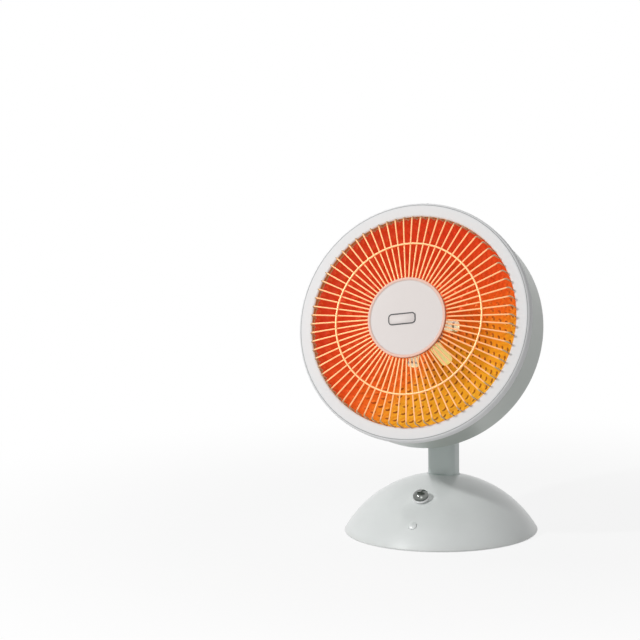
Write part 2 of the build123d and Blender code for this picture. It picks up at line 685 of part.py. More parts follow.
def reflector():
    """Parabolic sheet dish with a rolled flange and a hole for the post."""
    hole = POST_RADIUS - 2.0
    rings = [hole + (DISH_RADIUS - hole) * k / 8 for k in range(9)]
    inner = [(r, 0, dish_depth(r)) for r in rings]
    outer = [(r, 0, dish_depth(r) - DISH_SHEET) for r in rings]
    flange = DISH_RADIUS + 6.9
    outline = [
        Spline(*inner),
        Line(inner[-1], (flange, 0, -DISH_RIM + DISH_SHEET)),
        Line((flange, 0, -DISH_RIM + DISH_SHEET), (flange, 0, -DISH_RIM)),
        Line((flange, 0, -DISH_RIM), (DISH_RADIUS + 1.2, 0, -DISH_RIM)),
        Line((DISH_RADIUS + 1.2, 0, -DISH_RIM), outer[-1]),
        Spline(*reversed(outer)),
        Line(outer[0], inner[0]),
    ]
    return HEAD * turned(outline)


def grille_spokes():
    points = [SPOKE_INNER, SPOKE_MID, SPOKE_SHOULDER, SPOKE_END]
    path = FilletPolyline(*[(r, 0, z) for r, z in points], radius=[SPOKE_CROWN, SPOKE_BEND])
    section = Plane(origin=path @ 0, z_dir=path % 0) * Circle(SPOKE_RADIUS)
    spoke = sweep(section, path=path)
    placed = around(spoke, [k * 360 / SPOKE_COUNT for k in range(SPOKE_COUNT)])
    return HEAD * group(placed)


def grille_mid_ring():
    lift = SPOKE_MID[1] + SPOKE_RADIUS + MID_RING_WIRE - 0.02
    return HEAD * (Pos(0, 0, lift) * Torus(MID_RING_RADIUS, MID_RING_WIRE))


def grille_rim_ring():
    radius = SPOKE_END[0] + SPOKE_RADIUS + RIM_RING_WIRE
    return HEAD * (Pos(0, 0, SPOKE_END[1]) * Torus(radius, RIM_RING_WIRE))


def centre_disc():
    """Pressed disc with a low raised rim and a short skirt down to the spokes."""
    rim = DISC_FRONT
    face = rim - 0.9
    skirt = SPOKE_INNER[1] + SPOKE_RADIUS + 0.05
    inside = DISC_RADIUS - 1.2
    outline = soft_profile(
        (0, face, 0), (DISC_RADIUS - 4.2, face, 1.5), (DISC_RADIUS - 2.6, rim, 0.9),
        (DISC_RADIUS, rim, 1.0), (DISC_RADIUS, skirt, 0), (inside, skirt, 0),
        (inside, rim - 1.7, 0), (DISC_RADIUS - 4.8, rim - 1.9, 0), (0, rim - 1.9, 0),
    )
    return HEAD * turned(outline)


def disc_backplate():
    top = SPOKE_INNER[1] - SPOKE_RADIUS - PLATE_GAP
    plate = ring(0, DISC_RADIUS - 2.5, top - 1.2, top)
    for angle in DISC_RIVET_ANGLES:
        plate -= Rot(0, 0, angle) * Pos(RIVET_CIRCLE, 0, top) * Cylinder(1.62, 8)
    return HEAD * plate


def disc_rivets():
    top = DISC_FRONT - 1.9
    low = SPOKE_INNER[1] - SPOKE_RADIUS - PLATE_GAP - 1.2
    shank = Pos(RIVET_CIRCLE, 0, low) * Cylinder(1.6, top - low, align=BOTTOM)
    head = Pos(RIVET_CIRCLE, 0, low) * Cylinder(3, 1.2, align=TOP)
    rivet = shank + fillet(head.edges().group_by(Axis.Z)[0], 0.8)
    return HEAD * group(around(rivet, DISC_RIVET_ANGLES))


def along_arm(shape, depth):
    """Lays a shape that is built along Z out along the head's X axis, at a depth behind the face."""
    return Pos(0, 0, -depth) * Rot(0, 90, 0) * shape


def quartz_tubes():
    tube = along_arm(ring(QUARTZ_BORE, QUARTZ_RADIUS, QUARTZ_INNER, QUARTZ_OUTER), ELEMENT_DEPTH)
    return HEAD * group(around(tube, TUBE_ANGLES))


def heating_coils():
    middle = (QUARTZ_INNER + QUARTZ_OUTER) / 2
    wound = Pos(0, 0, middle) * coil(COIL_LOOPS, COIL_RADIUS, COIL_WIRE, COIL_PITCH)
    return HEAD * group(around(along_arm(wound, ELEMENT_DEPTH), TUBE_ANGLES))


def ceramic_caps():
    cap = ring(0, CAP_RADIUS, CAP_INNER, CAP_OUTER)
    cap = fillet(cap.edges().group_by(Axis.Z)[-1], 3.5)
    cap = chamfer(cap.edges().group_by(Axis.Z)[0], 0.6)
    cap -= Pos(0, 0, CAP_INNER - 1) * Cylinder(
        QUARTZ_RADIUS + 0.02, QUARTZ_OUTER - CAP_INNER + 1.1, align=BOTTOM
    )
    return HEAD * group(around(along_arm(cap, ELEMENT_DEPTH), TUBE_ANGLES))


def ceramic_hub():
    hub = ring(0, 17, -SPIDER_TOP, -ELEMENT_DEPTH + 8)
    hub = fillet(hub.edges().group_by(Axis.Z)[-1], 3)
    socket = along_arm(ring(0, QUARTZ_RADIUS + 0.02, QUARTZ_INNER - 0.1, 30), ELEMENT_DEPTH)
    for cut in around(socket, TUBE_ANGLES):
        hub -= cut
    return HEAD * hub


def ceramic_bushes():
    bush = ring(2.2, BUSH_RADIUS, BUSH_INNER, BUSH_OUTER)
    bush = fillet(bush.edges().group_by(Axis.Z)[-1].sort_by(Edge.length)[-1], 2.0)
    return HEAD * group(around(along_arm(bush, SPIDER_TOP - BUSH_RADIUS), BUSH_ANGLES))


def terminal_bands():
    """Steel rings round the outer ends of the bushes, open below where the bush rests."""
    low = BUSH_OUTER - 5.5
    band = ring(BUSH_RADIUS + 0.02, BUSH_RADIUS + 1.7, low, low + 2.5)
    lug = Pos(-BUSH_RADIUS - 2.2, 0, low) * Box(3.4, 1.6, 2.5, align=BOTTOM)
    gap = Pos(BUSH_RADIUS - 0.3, 0, low - 1) * Box(4, 12, 5, align=(Align.MIN, Align.CENTER, Align.MIN))
    return HEAD * group(around(along_arm(band + lug - gap, SPIDER_TOP - BUSH_RADIUS), BUSH_ANGLES))


def element_spider():
    """Steel plate: a disc with an arm under each cap and each bush."""
    plate = ring(0, 26, -SPIDER_TOP - SPIDER_SHEET, -SPIDER_TOP)
    along = (Align.MIN, Align.CENTER, Align.MAX)
    for angles, length, width in ((TUBE_ANGLES, 62, 10), (BUSH_ANGLES, 53, 8)):
        arm = Pos(0, 0, -SPIDER_TOP) * Box(length, width, SPIDER_SHEET, align=along)
        for placed in around(arm, angles):
            plate += placed
    return HEAD * (plate - Pos(0, 0, -SPIDER_TOP) * Cylinder(4, 10))


def element_post():
    """Spun steel tube from the dish's middle to the spider, with a flange on the dish."""
    top = -SPIDER_TOP - SPIDER_SHEET
    low = -DISH_DEPTH - 3
    outline = profile(
        (4.5, low), (5.9, low), (5.9, -DISH_DEPTH + 0.6), (16, -DISH_DEPTH + 1.3),
        (16, -DISH_DEPTH + 2.5), (POST_RADIUS, -DISH_DEPTH + 2.5), (POST_RADIUS, top), (4.5, top),
    )
    return HEAD * turned(outline)


def thermal_cutout():
    """Small round thermostat against the back of the dish."""
    radius = 62.0
    seat = (radius, 0, dish_depth(radius) - DISH_SHEET - 0.15)
    plane = Plane(origin=seat, z_dir=(radius / (2 * DISH_FOCAL), 0, -1))
    case = Cylinder(8, 5.5, align=BOTTOM) + Pos(0, 0, 5.5) * Cylinder(6.2, 3, align=BOTTOM)
    tags = [Pos(0, y, 8) * Box(0.8, 4, 4, align=BOTTOM) for y in (-3, 3)]
    return HEAD * (Rot(0, 0, 200) * (plane.location * (case + tags)))


def tilt_knuckle():
    """Plate on the back of the drum with a tongue that reaches to the hinge pin."""
    face = -DRUM_CENTRE_BACK
    plate = ring(5, 27, face - 4, face)
    plate = fillet(plate.edges().group_by(Axis.Z)[0].sort_by(Edge.length)[-1], 1.5)
    reach = PIVOT_BACK + face - 4
    tongue = Pos(0, 0, face - 4) * Box(
        2 * TONGUE_HALF_WIDTH, 2 * TONGUE_HALF_HEIGHT, reach, align=TOP
    )
    tongue += Pos(0, 0, -PIVOT_BACK) * Rot(0, 90, 0) * Cylinder(TONGUE_HALF_HEIGHT, 2 * TONGUE_HALF_WIDTH)
    knuckle = plate + tongue
    knuckle -= Pos(0, 0, -PIVOT_BACK) * Rot(0, 90, 0) * Cylinder(PIN_RADIUS + RUNNING_GAP, 60)
    for x, y in KNUCKLE_HOLES:
        knuckle -= Pos(x, y, face) * Cylinder(1.7, 20)
    return HEAD * knuckle


def knuckle_screws():
    screws = []
    for x, y in KNUCKLE_HOLES:
        one = Rot(180, 0, 0) * screw(1.65, 9, 3.2, 1.8)
        screws.append(Pos(x, y, -DRUM_CENTRE_BACK - 4) * one)
    return HEAD * group(screws)


def build():
    front, rear = neck_shells()
    return {
        "base_shell": base_shell(),
        "base_plate": base_plate(),
        "foot_ring": foot_ring(),
        "base_screws": base_screws(),
        "ballast_ring": ballast_ring(),
        "swivel_bush": swivel_bush(),
        "thrust_washer": thrust_washer(),
        "swing_motor": swing_motor(),
        "motor_bracket": motor_bracket(),
        "motor_screws": motor_screws(),
        "heat_switch": heat_switch(),
        "switch_nut": switch_nut(),
        "swing_switch": swing_switch(),
        "tip_switch": tip_switch(),
        "terminal_block": terminal_block(),
        "cord_inlet": cord_inlet(),
        "cord_clamp": cord_clamp(),
        "knob_cap": knob_cap(),
        "knob_skirt": knob_skirt(),
        "knob_shaft": knob_shaft(),
        "swing_button": swing_button(),
        "tip_plunger": tip_plunger(),
        "tip_spring": tip_spring(),
        "motor_pinion": motor_pinion(),
        "neck_front_shell": front,
        "neck_rear_shell": rear,
        "neck_screws": neck_screws(),
        "neck_tube": neck_tube(),
        "sector_gear": sector_gear(),
        "tilt_fork": tilt_fork(),
        "hinge_pin": hinge_pin(),
        "hinge_nut": hinge_nut(),
        "friction_washers": friction_washers(),
        "drum_shell": bezel_screw_holes(drum_shell()),
        "bezel": bezel_screw_holes(bezel()),
        "bezel_lock_screw": bezel_lock_screw(),
        "grille_spokes": grille_spokes(),
        "grille_mid_ring": grille_mid_ring(),
        "grille_rim_ring": grille_rim_ring(),
        "centre_disc": centre_disc(),
        "disc_backplate": disc_backplate(),
        "disc_rivets": disc_rivets(),
        "reflector": reflector(),
        "quartz_tubes": quartz_tubes(),
        "heating_coils": heating_coils(),
        "ceramic_caps": ceramic_caps(),
        "ceramic_hub": ceramic_hub(),
        "ceramic_bushes": ceramic_bushes(),
        "terminal_bands": terminal_bands(),
        "element_spider": element_spider(),
        "element_post": element_post(),
        "thermal_cutout": thermal_cutout(),
        "tilt_knuckle": tilt_knuckle(),
        "knuckle_screws": knuckle_screws(),
    }


os.makedirs("parts", exist_ok=True)
for node, shape in build().items():
    export_step(shape, f"parts/{node}.step")
print(f"hinge axis {PIVOT_HEIGHT:.3f} mm above the floor")
for name, plane in (("knob", on_dome(KNOB_FORWARD)), ("button", on_dome(BUTTON_FORWARD))):
    print(name, "at", plane.origin, "normal", plane.z_dir)
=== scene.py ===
"""Looks of the quartz dish heater: a caged dish in a white drum on a domed base."""

import logging
import math
from dataclasses import dataclass, field
from enum import Enum

import bmesh
import bpy
from mathutils import Matrix, Vector


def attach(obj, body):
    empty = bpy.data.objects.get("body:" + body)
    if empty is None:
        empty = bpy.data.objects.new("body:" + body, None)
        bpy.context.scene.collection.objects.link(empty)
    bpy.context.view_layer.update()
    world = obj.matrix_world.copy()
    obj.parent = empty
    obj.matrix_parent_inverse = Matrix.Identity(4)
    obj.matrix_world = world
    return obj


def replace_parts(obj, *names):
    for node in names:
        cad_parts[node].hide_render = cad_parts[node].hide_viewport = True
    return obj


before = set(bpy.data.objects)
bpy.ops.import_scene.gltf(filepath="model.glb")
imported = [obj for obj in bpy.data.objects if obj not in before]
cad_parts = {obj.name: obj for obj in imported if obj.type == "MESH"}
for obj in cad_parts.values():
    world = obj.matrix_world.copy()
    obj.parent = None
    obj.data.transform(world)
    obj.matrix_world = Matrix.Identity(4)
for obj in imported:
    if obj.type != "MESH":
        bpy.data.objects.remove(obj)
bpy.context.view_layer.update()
LOG = logging.getLogger("quartz_heater")

Colour = tuple[float, float, float]
Span = tuple[float, float]
WHITE = (1.0, 1.0, 1.0, 1.0)
MM_IN_METRE = 1000.0
SHARP_EDGE = math.radians(38.0)
ORIGIN = Vector((0.0, 0.0, 0.0))
ACROSS = Vector((1.0, 0.0, 0.0))
UPWARD = Vector((0.0, 0.0, 1.0))
HEAD_TILT = math.radians(19.7)
FACE_CENTRE = Vector((0.0, -0.1138, 0.2887))
FACE_UP = Vector((0.0, math.sin(HEAD_TILT), math.cos(HEAD_TILT)))
FACE_OUT = Vector((0.0, -math.cos(HEAD_TILT), math.sin(HEAD_TILT)))


class Body(Enum):
    """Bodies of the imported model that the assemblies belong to."""

    BASE = "base"
    KNOB = "heat_knob"
    NECK = "neck"
    HEAD = "head"


class Socket:
    """A node's output that takes part in shader maths."""

    def __init__(self, sheet: "NodeSheet", link: bpy.types.NodeSocket) -> None:
        """Keeps the output and the sheet that it is on.

        Args:
            sheet: the sheet of nodes.
            link: the output socket.
        """
        self.sheet = sheet
        self.link = link

    def math(self, operation: str, *others: "Socket | float") -> "Socket":
        """Adds a Math node whose first input is this output.

        Args:
            operation: the Math node's operation.
            others: its further inputs, in order.

        Returns:
            The node's result.
        """
        return self.sheet.add("ShaderNodeMath", {"operation": operation}, dict(enumerate((self, *others))))

    def __add__(self, other: "Socket | float") -> "Socket":
        """Sum."""
        return self.math("ADD", other)

    __radd__ = __add__

    def __sub__(self, other: "Socket | float") -> "Socket":
        """Difference."""
        return self.math("SUBTRACT", other)

    def __rsub__(self, other: float) -> "Socket":
        """Difference from a number."""
        return self * -1.0 + other

    def __mul__(self, other: "Socket | float") -> "Socket":
        """Product."""
        return self.math("MULTIPLY", other)

    __rmul__ = __mul__

    def __truediv__(self, other: "Socket | float") -> "Socket":
        """Quotient."""
        return self.math("DIVIDE", other)

    def floor(self) -> "Socket":
        """Whole part."""
        return self.math("FLOOR")

    def above(self, low: float, high: float) -> "Socket":
        """Smooth step.

        Args:
            low: the value that gives 0.
            high: the value that gives 1.

        Returns:
            A mask from 0 to 1.
        """
        settings = {"interpolation_type": "SMOOTHSTEP"}
        inputs = {"Value": self, "From Min": low, "From Max": high}
        return self.sheet.add("ShaderNodeMapRange", settings, inputs)

    def between(self, low: float, high: float, soft: float) -> "Socket":
        """Mask that is 1 from low to high.

        Args:
            low: where the band starts.
            high: where the band ends.
            soft: width of its soft edges.

        Returns:
            A mask from 0 to 1.
        """
        return self.above(low - soft, low) * (1 - self.above(high, high + soft))


class NodeSheet:
    """The nodes of one material or of the world."""

    def __init__(self, owner: bpy.types.Material | bpy.types.World) -> None:
        """Starts with no nodes.

        Args:
            owner: the material or world.
        """
        owner.use_nodes = True
        self.owner = owner
        self.tree = owner.node_tree
        self.tree.nodes.clear()

    def add(
        self, kind: str, settings: dict | None = None, inputs: dict | None = None, out: int | str = 0
    ) -> Socket:
        """Adds any node.

        Args:
            kind: the node's type.
            settings: its properties, or "stops" for a ramp as (position, colour) pairs.
            inputs: numbers, colours or sockets, by the input's name or place.
            out: the output that is wanted.

        Returns:
            That output.
        """
        node = self.tree.nodes.new(kind)
        for key, value in (settings or {}).items():
            if key == "stops":
                self._ramp(node, value)
            else:
                setattr(node, key, value)
        for key, value in (inputs or {}).items():
            if isinstance(value, Socket):
                self.tree.links.new(value.link, node.inputs[key])
            else:
                node.inputs[key].default_value = value
        return Socket(self, node.outputs[out]) if node.outputs else Socket(self, None)

    @staticmethod
    def _ramp(node: bpy.types.Node, stops: list[tuple[float, Colour]]) -> None:
        """Writes a ramp's stops.

        Args:
            node: the ramp.
            stops: positions and colours, in order.
        """
        elements = node.color_ramp.elements
        while len(elements) < len(stops):
            elements.new(1.0)
        for element, (position, colour) in zip(elements, stops):
            element.position = position
            element.color = (*colour, 1.0)

    def mix(self, share: Socket | float, a: Socket | Colour, b: Socket | Colour) -> Socket:
        """Mixes two colours.

        Args:
            share: how much of the second.
            a: first colour.
            b: second colour.

        Returns:
            The mixed colour.
        """
        a, b = (v if isinstance(v, Socket) else (*v, 1.0) for v in (a, b))
        return self.add("ShaderNodeMix", {"data_type": "RGBA"}, {0: share, 6: a, 7: b}, 2)

    def dot(self, vector: Socket, direction: Vector, offset: Vector) -> Socket:
        """Distance along a direction.

        Args:
            vector: the place.
            direction: unit vector.
            offset: the point that counts as zero.

        Returns:
            The distance in millimetres.
        """
        settings = {"operation": "DOT_PRODUCT"}
        along = self.add("ShaderNodeVectorMath", settings, {0: vector, 1: tuple(direction)}, "Value")
        return (along - offset.dot(direction)) * MM_IN_METRE

    def place(self) -> Socket:
        """The point on the object, in metres."""
        return self.add("ShaderNodeTexCoord", out="Object")

    def noise(self, vector: Socket, scale: float, detail: float = 3.0, rough: float = 0.55) -> Socket:
        """Noise from 0 to 1.

        Args:
            vector: the place.
            scale: how many grains to a metre.
            detail: octaves.
            rough: weight of the finer ones.

        Returns:
            The noise.
        """
        inputs = {"Vector": vector, "Scale": scale, "Detail": detail, "Roughness": rough}
        return self.add("ShaderNodeTexNoise", None, inputs)

    def bump(self, height: Socket, depth: float, under: Socket | None = None) -> Socket:
        """Bump from a height.

        Args:
            height: the height, from 0 to 1.
            depth: its real depth in metres.
            under: a bump that lies under it.

        Returns:
            The bent normal.
        """
        inputs = {"Height": height, "Distance": depth, "Strength": 1.0}
        if under is not None:
            inputs["Normal"] = under
        return self.add("ShaderNodeBump", None, inputs)


class HeadPlace:
    """Where a point lies on the head: x, y on the face, z out of it, in millimetres."""

    def __init__(self, sheet: NodeSheet) -> None:
        """Works out the coordinates.

        Args:
            sheet: the material's nodes.
        """
        spot = sheet.place()
        self.x = sheet.dot(spot, ACROSS, FACE_CENTRE)
        self.y = sheet.dot(spot, FACE_UP, FACE_CENTRE)
        self.z = sheet.dot(spot, FACE_OUT, FACE_CENTRE)
        self.radius = (self.x * self.x + self.y * self.y).math("SQRT")
        self.turn = self.y.math("ARCTAN2", self.x) / math.tau


@dataclass(frozen=True)
class Finish:
    """A finish, made as one material. Scales are grains to a metre and depths are metres."""

    name: str
    slot: str
    colour: Colour
    roughness: float = 0.4
    metallic: float = 0.0
    coat: float = 0.0
    glow: float = 0.0
    alpha: float = 1.0
    variation: float = 0.05
    grain: float = 900.0
    grain_depth: float = 0.00002
    cloud_scale: float = 14.0
    cloud_edges: Span = (0.3, 0.7)
    roughness_change: float = 0.35
    coat_roughness: float = 0.12

    def paint(self, sheet: NodeSheet) -> dict[str, Socket]:
        """Colour, roughness and grain that vary a little.

        Args:
            sheet: the material's nodes.

        Returns:
            What goes into the shader's sockets.
        """
        spot = sheet.place()
        cloud = sheet.noise(spot, self.cloud_scale, 4.0)
        dark = tuple(c * (1.0 - self.variation) for c in self.colour)
        lift = (cloud - 0.5) * (self.roughness * self.roughness_change) + self.roughness
        fine = sheet.noise(spot, self.grain, 2.0)
        return {
            "Base Color": sheet.mix(cloud.above(*self.cloud_edges), dark, self.colour),
            "Roughness": lift,
            "Normal": sheet.bump(fine, self.grain_depth),
        }

    def make(self) -> bpy.types.Material:
        """Makes the material.

        Returns:
            The material.
        """
        sheet = NodeSheet(bpy.data.materials.new(self.name))
        inputs = {
            "Base Color": (*self.colour, 1.0),
            "Roughness": self.roughness,
            "Metallic": self.metallic,
            "Coat Weight": self.coat,
            "Coat Roughness": self.coat_roughness,
            "Alpha": self.alpha,
            "Emission Strength": self.glow,
            **self.paint(sheet),
        }
        shader = sheet.add("ShaderNodeBsdfPrincipled", None, inputs)
        sheet.add("ShaderNodeOutputMaterial", None, {"Surface": shader})
        return sheet.owner


@dataclass(frozen=True)
class Moulding(Finish):
    """Satin moulded plastic with faint flow marks and a little dust low down."""

    dust: Colour = (0.58, 0.58, 0.55)
    dust_height: float = 9.0
    dust_scale: float = 60.0
    dust_share: float = 0.5

    def paint(self, sheet: NodeSheet) -> dict[str, Socket]:
        """Adds the dust near the floor.

        Args:
            sheet: the material's nodes.

        Returns:
            What goes into the shader's sockets.
        """
        made = super().paint(sheet)
        spot = sheet.place()
        height = sheet.dot(spot, UPWARD, ORIGIN)
        low = (1 - height.above(0.0, self.dust_height)) * sheet.noise(spot, self.dust_scale) * self.dust_share
        made["Base Color"] = sheet.mix(low, made["Base Color"], self.dust)
        return made


@dataclass(frozen=True)
class RingGloss(Finish):
    """Gloss ring with painted shade in a fine groove near its outer edge and painted warm light on its inner
    wall.

    Radii and heights are in millimetres on the head.
    """

    # The grey painted in the fine groove near the edge is painted shade.
    groove_shade: Colour = (0.42, 0.43, 0.43)
    score_radii: Span = (149.2, 149.8)
    score_soft: float = 0.25
    score_heights: Span = (-1.6, -0.9)
    score_depth: float = 0.0003
    # The warm colour on the inner wall is painted light from the dish.
    warm: Colour = (0.62, 0.36, 0.12)
    warm_radii: Span = (134.8, 136.6)
    warm_heights: Span = (-2.4, -0.9)

    def paint(self, sheet: NodeSheet) -> dict[str, Socket]:
        """Adds the painted shade of the groove and the painted warm light on the inner wall.

        Args:
            sheet: the material's nodes.

        Returns:
            What goes into the shader's sockets.
        """
        made = super().paint(sheet)
        head = HeadPlace(sheet)
        line = head.radius.between(*self.score_radii, self.score_soft) * head.z.above(*self.score_heights)
        wall = (1 - head.radius.above(*self.warm_radii)) * (1 - head.z.above(*self.warm_heights))
        shade = sheet.mix(line, made["Base Color"], self.groove_shade)
        made["Base Color"] = sheet.mix(wall, shade, self.warm)
        made["Normal"] = sheet.bump(1 - line, self.score_depth, made["Normal"])
        return made


@dataclass(frozen=True)
class DiscEnamel(Finish):
    """Pale enamel on the pressed disc, with painted warm light on its rim and painted shade and red
    reflection on its side.

    Radii and heights are in millimetres on the head.
    """

    # The peach on the rim is painted warm light.
    rim: Colour = (0.93, 0.50, 0.36)
    rim_light_radii: Span = (46.4, 48.6)
    rim_light_share: float = 0.75
    # The dark red on the side is painted shade and painted red reflection.
    side: Colour = (0.40, 0.07, 0.03)
    side_shade_radii: Span = (50.2, 50.8)
    side_shade_heights: Span = (20.6, 21.6)

    def paint(self, sheet: NodeSheet) -> dict[str, Socket]:
        """Adds the painted warm light on the rim and the painted shade and red reflection on the side.

        Args:
            sheet: the material's nodes.

        Returns:
            What goes into the shader's sockets.
        """
        made = super().paint(sheet)
        head = HeadPlace(sheet)
        edge = head.radius.above(*self.rim_light_radii)
        shaded_flank = (1 - head.z.above(*self.side_shade_heights)) * head.radius.above(*self.side_shade_radii)
        shade = sheet.mix(edge * self.rim_light_share, made["Base Color"], self.rim)
        made["Base Color"] = sheet.mix(shaded_flank, shade, self.side)
        return made


@dataclass(frozen=True)
class DimpleGrid:
    """Where the dish's dimples lie: rings of them, a pitch apart.

    The pitch is in millimetres and the other lengths are in pitches. The rings inside `clear` have none.
    """

    pitch: float = 10.6
    drift: float = 0.37
    clear: float = 2.0
    clear_soft: float = 0.1
    foot: float = 0.36
    slope: float = 0.26
    lean: float = 0.6

    def height(self, x: float, y: float) -> float:
        """How far a point is raised.

        Args:
            x: place across the face.
            y: place up the face.

        Returns:
            A share from 0 to 1 of the dimples' height.
        """
        step = math.hypot(x, y) / self.pitch
        ring = math.floor(step)
        if ring < self.clear:
            return 0.0
        count = math.floor((ring + 0.5) * math.tau)
        along = math.atan2(y, x) / math.tau * count + ring * self.drift
        away = math.hypot(along - math.floor(along) - 0.5, step - ring - 0.5)
        share = min(1.0, max(0.0, (self.foot - away) / self.slope))
        return share * share * (3.0 - 2.0 * share)

    def spot(self, head: HeadPlace) -> tuple[Socket, Socket]:
        """The same layout in shader maths.

        Args:
            head: the place on the head.

        Returns:
            The distance from the dimple's middle, in pitches, and its part out from the centre.
        """
        step = head.radius / self.pitch
        ring = step.floor()
        count = ((ring + 0.5) * math.tau).floor()
        along = head.turn * count + ring * self.drift
        du = along - along.floor() - 0.5
        dv = step - ring - 0.5
        shown = step.above(self.clear, self.clear + self.clear_soft)
        return (du * du + dv * dv).math("SQRT"), (du * self.lean + dv) * shown


DIMPLES = DimpleGrid()


@dataclass(frozen=True)
class EmbossedDish(Finish):
    """Copper-toned dish with painted reflection of the glow, red at the upper left and golden at the lower
    right, with painted shade and highlights on its dimples.

    The tone follows the distance along `reflection_way` in millimetres. Bands on a dimple are in pitches.
    """

    deep: Colour = (0.66, 0.045, 0.008)
    red: Colour = (0.74, 0.082, 0.009)
    orange: Colour = (0.80, 0.17, 0.010)
    gold: Colour = (0.78, 0.42, 0.014)
    bright: Colour = (0.82, 0.55, 0.030)
    shadow: Colour = (0.22, 0.035, 0.003)
    dimple_highlight: Colour = (1.0, 0.62, 0.12)
    reflection_way: Span = (0.643, -0.766)
    patch_scale: float = 22.0
    patch_reach: float = 46.0
    centre_pull: float = 0.35
    tone_start: float = -120.0
    tone_length: float = 210.0
    tone_stops: tuple[float, ...] = (0.05, 0.42, 0.62, 0.77, 1.0)
    dimple_tones: Span = (0.45, 0.72)
    dimple_least: float = 0.2
    shade_band: tuple[float, float, float] = (0.16, 0.30, 0.07)
    shade_side: Span = (0.0, 0.16)
    shade_share: float = 0.85
    highlight_band: tuple[float, float, float] = (0.0, 0.12, 0.1)
    highlight_side: Span = (-0.1, 0.05)
    highlight_share: float = 0.45
    streak_scale: float = 320.0
    streak_change: float = 0.2
    streak_depth: float = 0.00003

    def paint(self, sheet: NodeSheet) -> dict[str, Socket]:
        """Colours the dish with its painted reflection and paints shade and highlights on the dimples.

        Args:
            sheet: the material's nodes.

        Returns:
            What goes into the shader's sockets.
        """
        head = HeadPlace(sheet)
        cloud = (sheet.noise(sheet.place(), self.patch_scale, 3.0) - 0.5) * self.patch_reach
        # The sweep from red to gold over the dish's own copper is painted reflection of the glow.
        along, up = self.reflection_way
        reach = head.x * along + head.y * up - head.radius * self.centre_pull + cloud
        share = (reach - self.tone_start) / self.tone_length
        tones = (self.deep, self.red, self.orange, self.gold, self.bright)
        stops = list(zip(self.tone_stops, tones, strict=True))
        tone = sheet.add("ShaderNodeValToRGB", {"stops": stops}, {0: share})
        away, outward = DIMPLES.spot(head)
        clear = share.above(*self.dimple_tones) * (1.0 - self.dimple_least) + self.dimple_least
        # Painted shade on one side of each dimple and a painted highlight on the other.
        dimple_shade = away.between(*self.shade_band) * outward.above(*self.shade_side)
        dimple_highlight = away.between(*self.highlight_band) * (1 - outward.above(*self.highlight_side))
        colour = sheet.mix(dimple_shade * clear * self.shade_share, tone, self.shadow)
        colour = sheet.mix(dimple_highlight * clear * self.highlight_share, colour, self.dimple_highlight)
        streak = sheet.noise(sheet.place(), self.streak_scale, 2.0)
        return {
            "Base Color": colour,
            # The dish's emission is a painted glow.
            "Emission Color": colour,
            "Roughness": streak * self.streak_change + (self.roughness - self.streak_change / 2),
            "Normal": sheet.bump(streak, self.streak_depth),
        }


@dataclass(frozen=True)
class PlatedWire(Finish):
    """Bright wire with painted reflection of the dish's colour and a painted glow, and painted shade where it
    bends round the rim.
    """

    # The dark olive on the bent ends is painted shade.
    tip: Colour = (0.34, 0.29, 0.18)
    tip_shade_radii: Span = (127.5, 131.5)
    tip_shade_share: float = 0.8

    def paint(self, sheet: NodeSheet) -> dict[str, Socket]:
        """Adds the painted shade on the bent ends.

        Args:
            sheet: the material's nodes.

        Returns:
            What goes into the shader's sockets.
        """
        made = super().paint(sheet)
        head = HeadPlace(sheet)
        ends = head.radius.above(*self.tip_shade_radii) * self.tip_shade_share
        colour = sheet.mix(ends, made["Base Color"], self.tip)
        made["Base Color"] = colour
        # The wire's emission is a painted glow.
        made["Emission Color"] = colour
        return made


@dataclass(frozen=True)
class Glowing(Finish):
    """A surface that gives off a little light of its own colour."""

    def paint(self, sheet: NodeSheet) -> dict[str, Socket]:
        """Adds the glow's colour.

        Args:
            sheet: the material's nodes.

        Returns:
            What goes into the shader's sockets.
        """
        made = super().paint(sheet)
        made["Emission Color"] = made["Base Color"]
        return made


@dataclass(frozen=True)
class TurnedSteel(Finish):
    """Plated steel with fine drawn lines."""

    stretch: float = 0.06

    def paint(self, sheet: NodeSheet) -> dict[str, Socket]:
        """Stretches the grain into lines.

        Args:
            sheet: the material's nodes.

        Returns:
            What goes into the shader's sockets.
        """
        made = super().paint(sheet)
        inputs = {"Vector": sheet.place(), "Scale": (1.0, 1.0, self.stretch)}
        scaled = sheet.add("ShaderNodeMapping", None, inputs)
        made["Normal"] = sheet.bump(sheet.noise(scaled, self.grain), self.grain_depth)
        return made


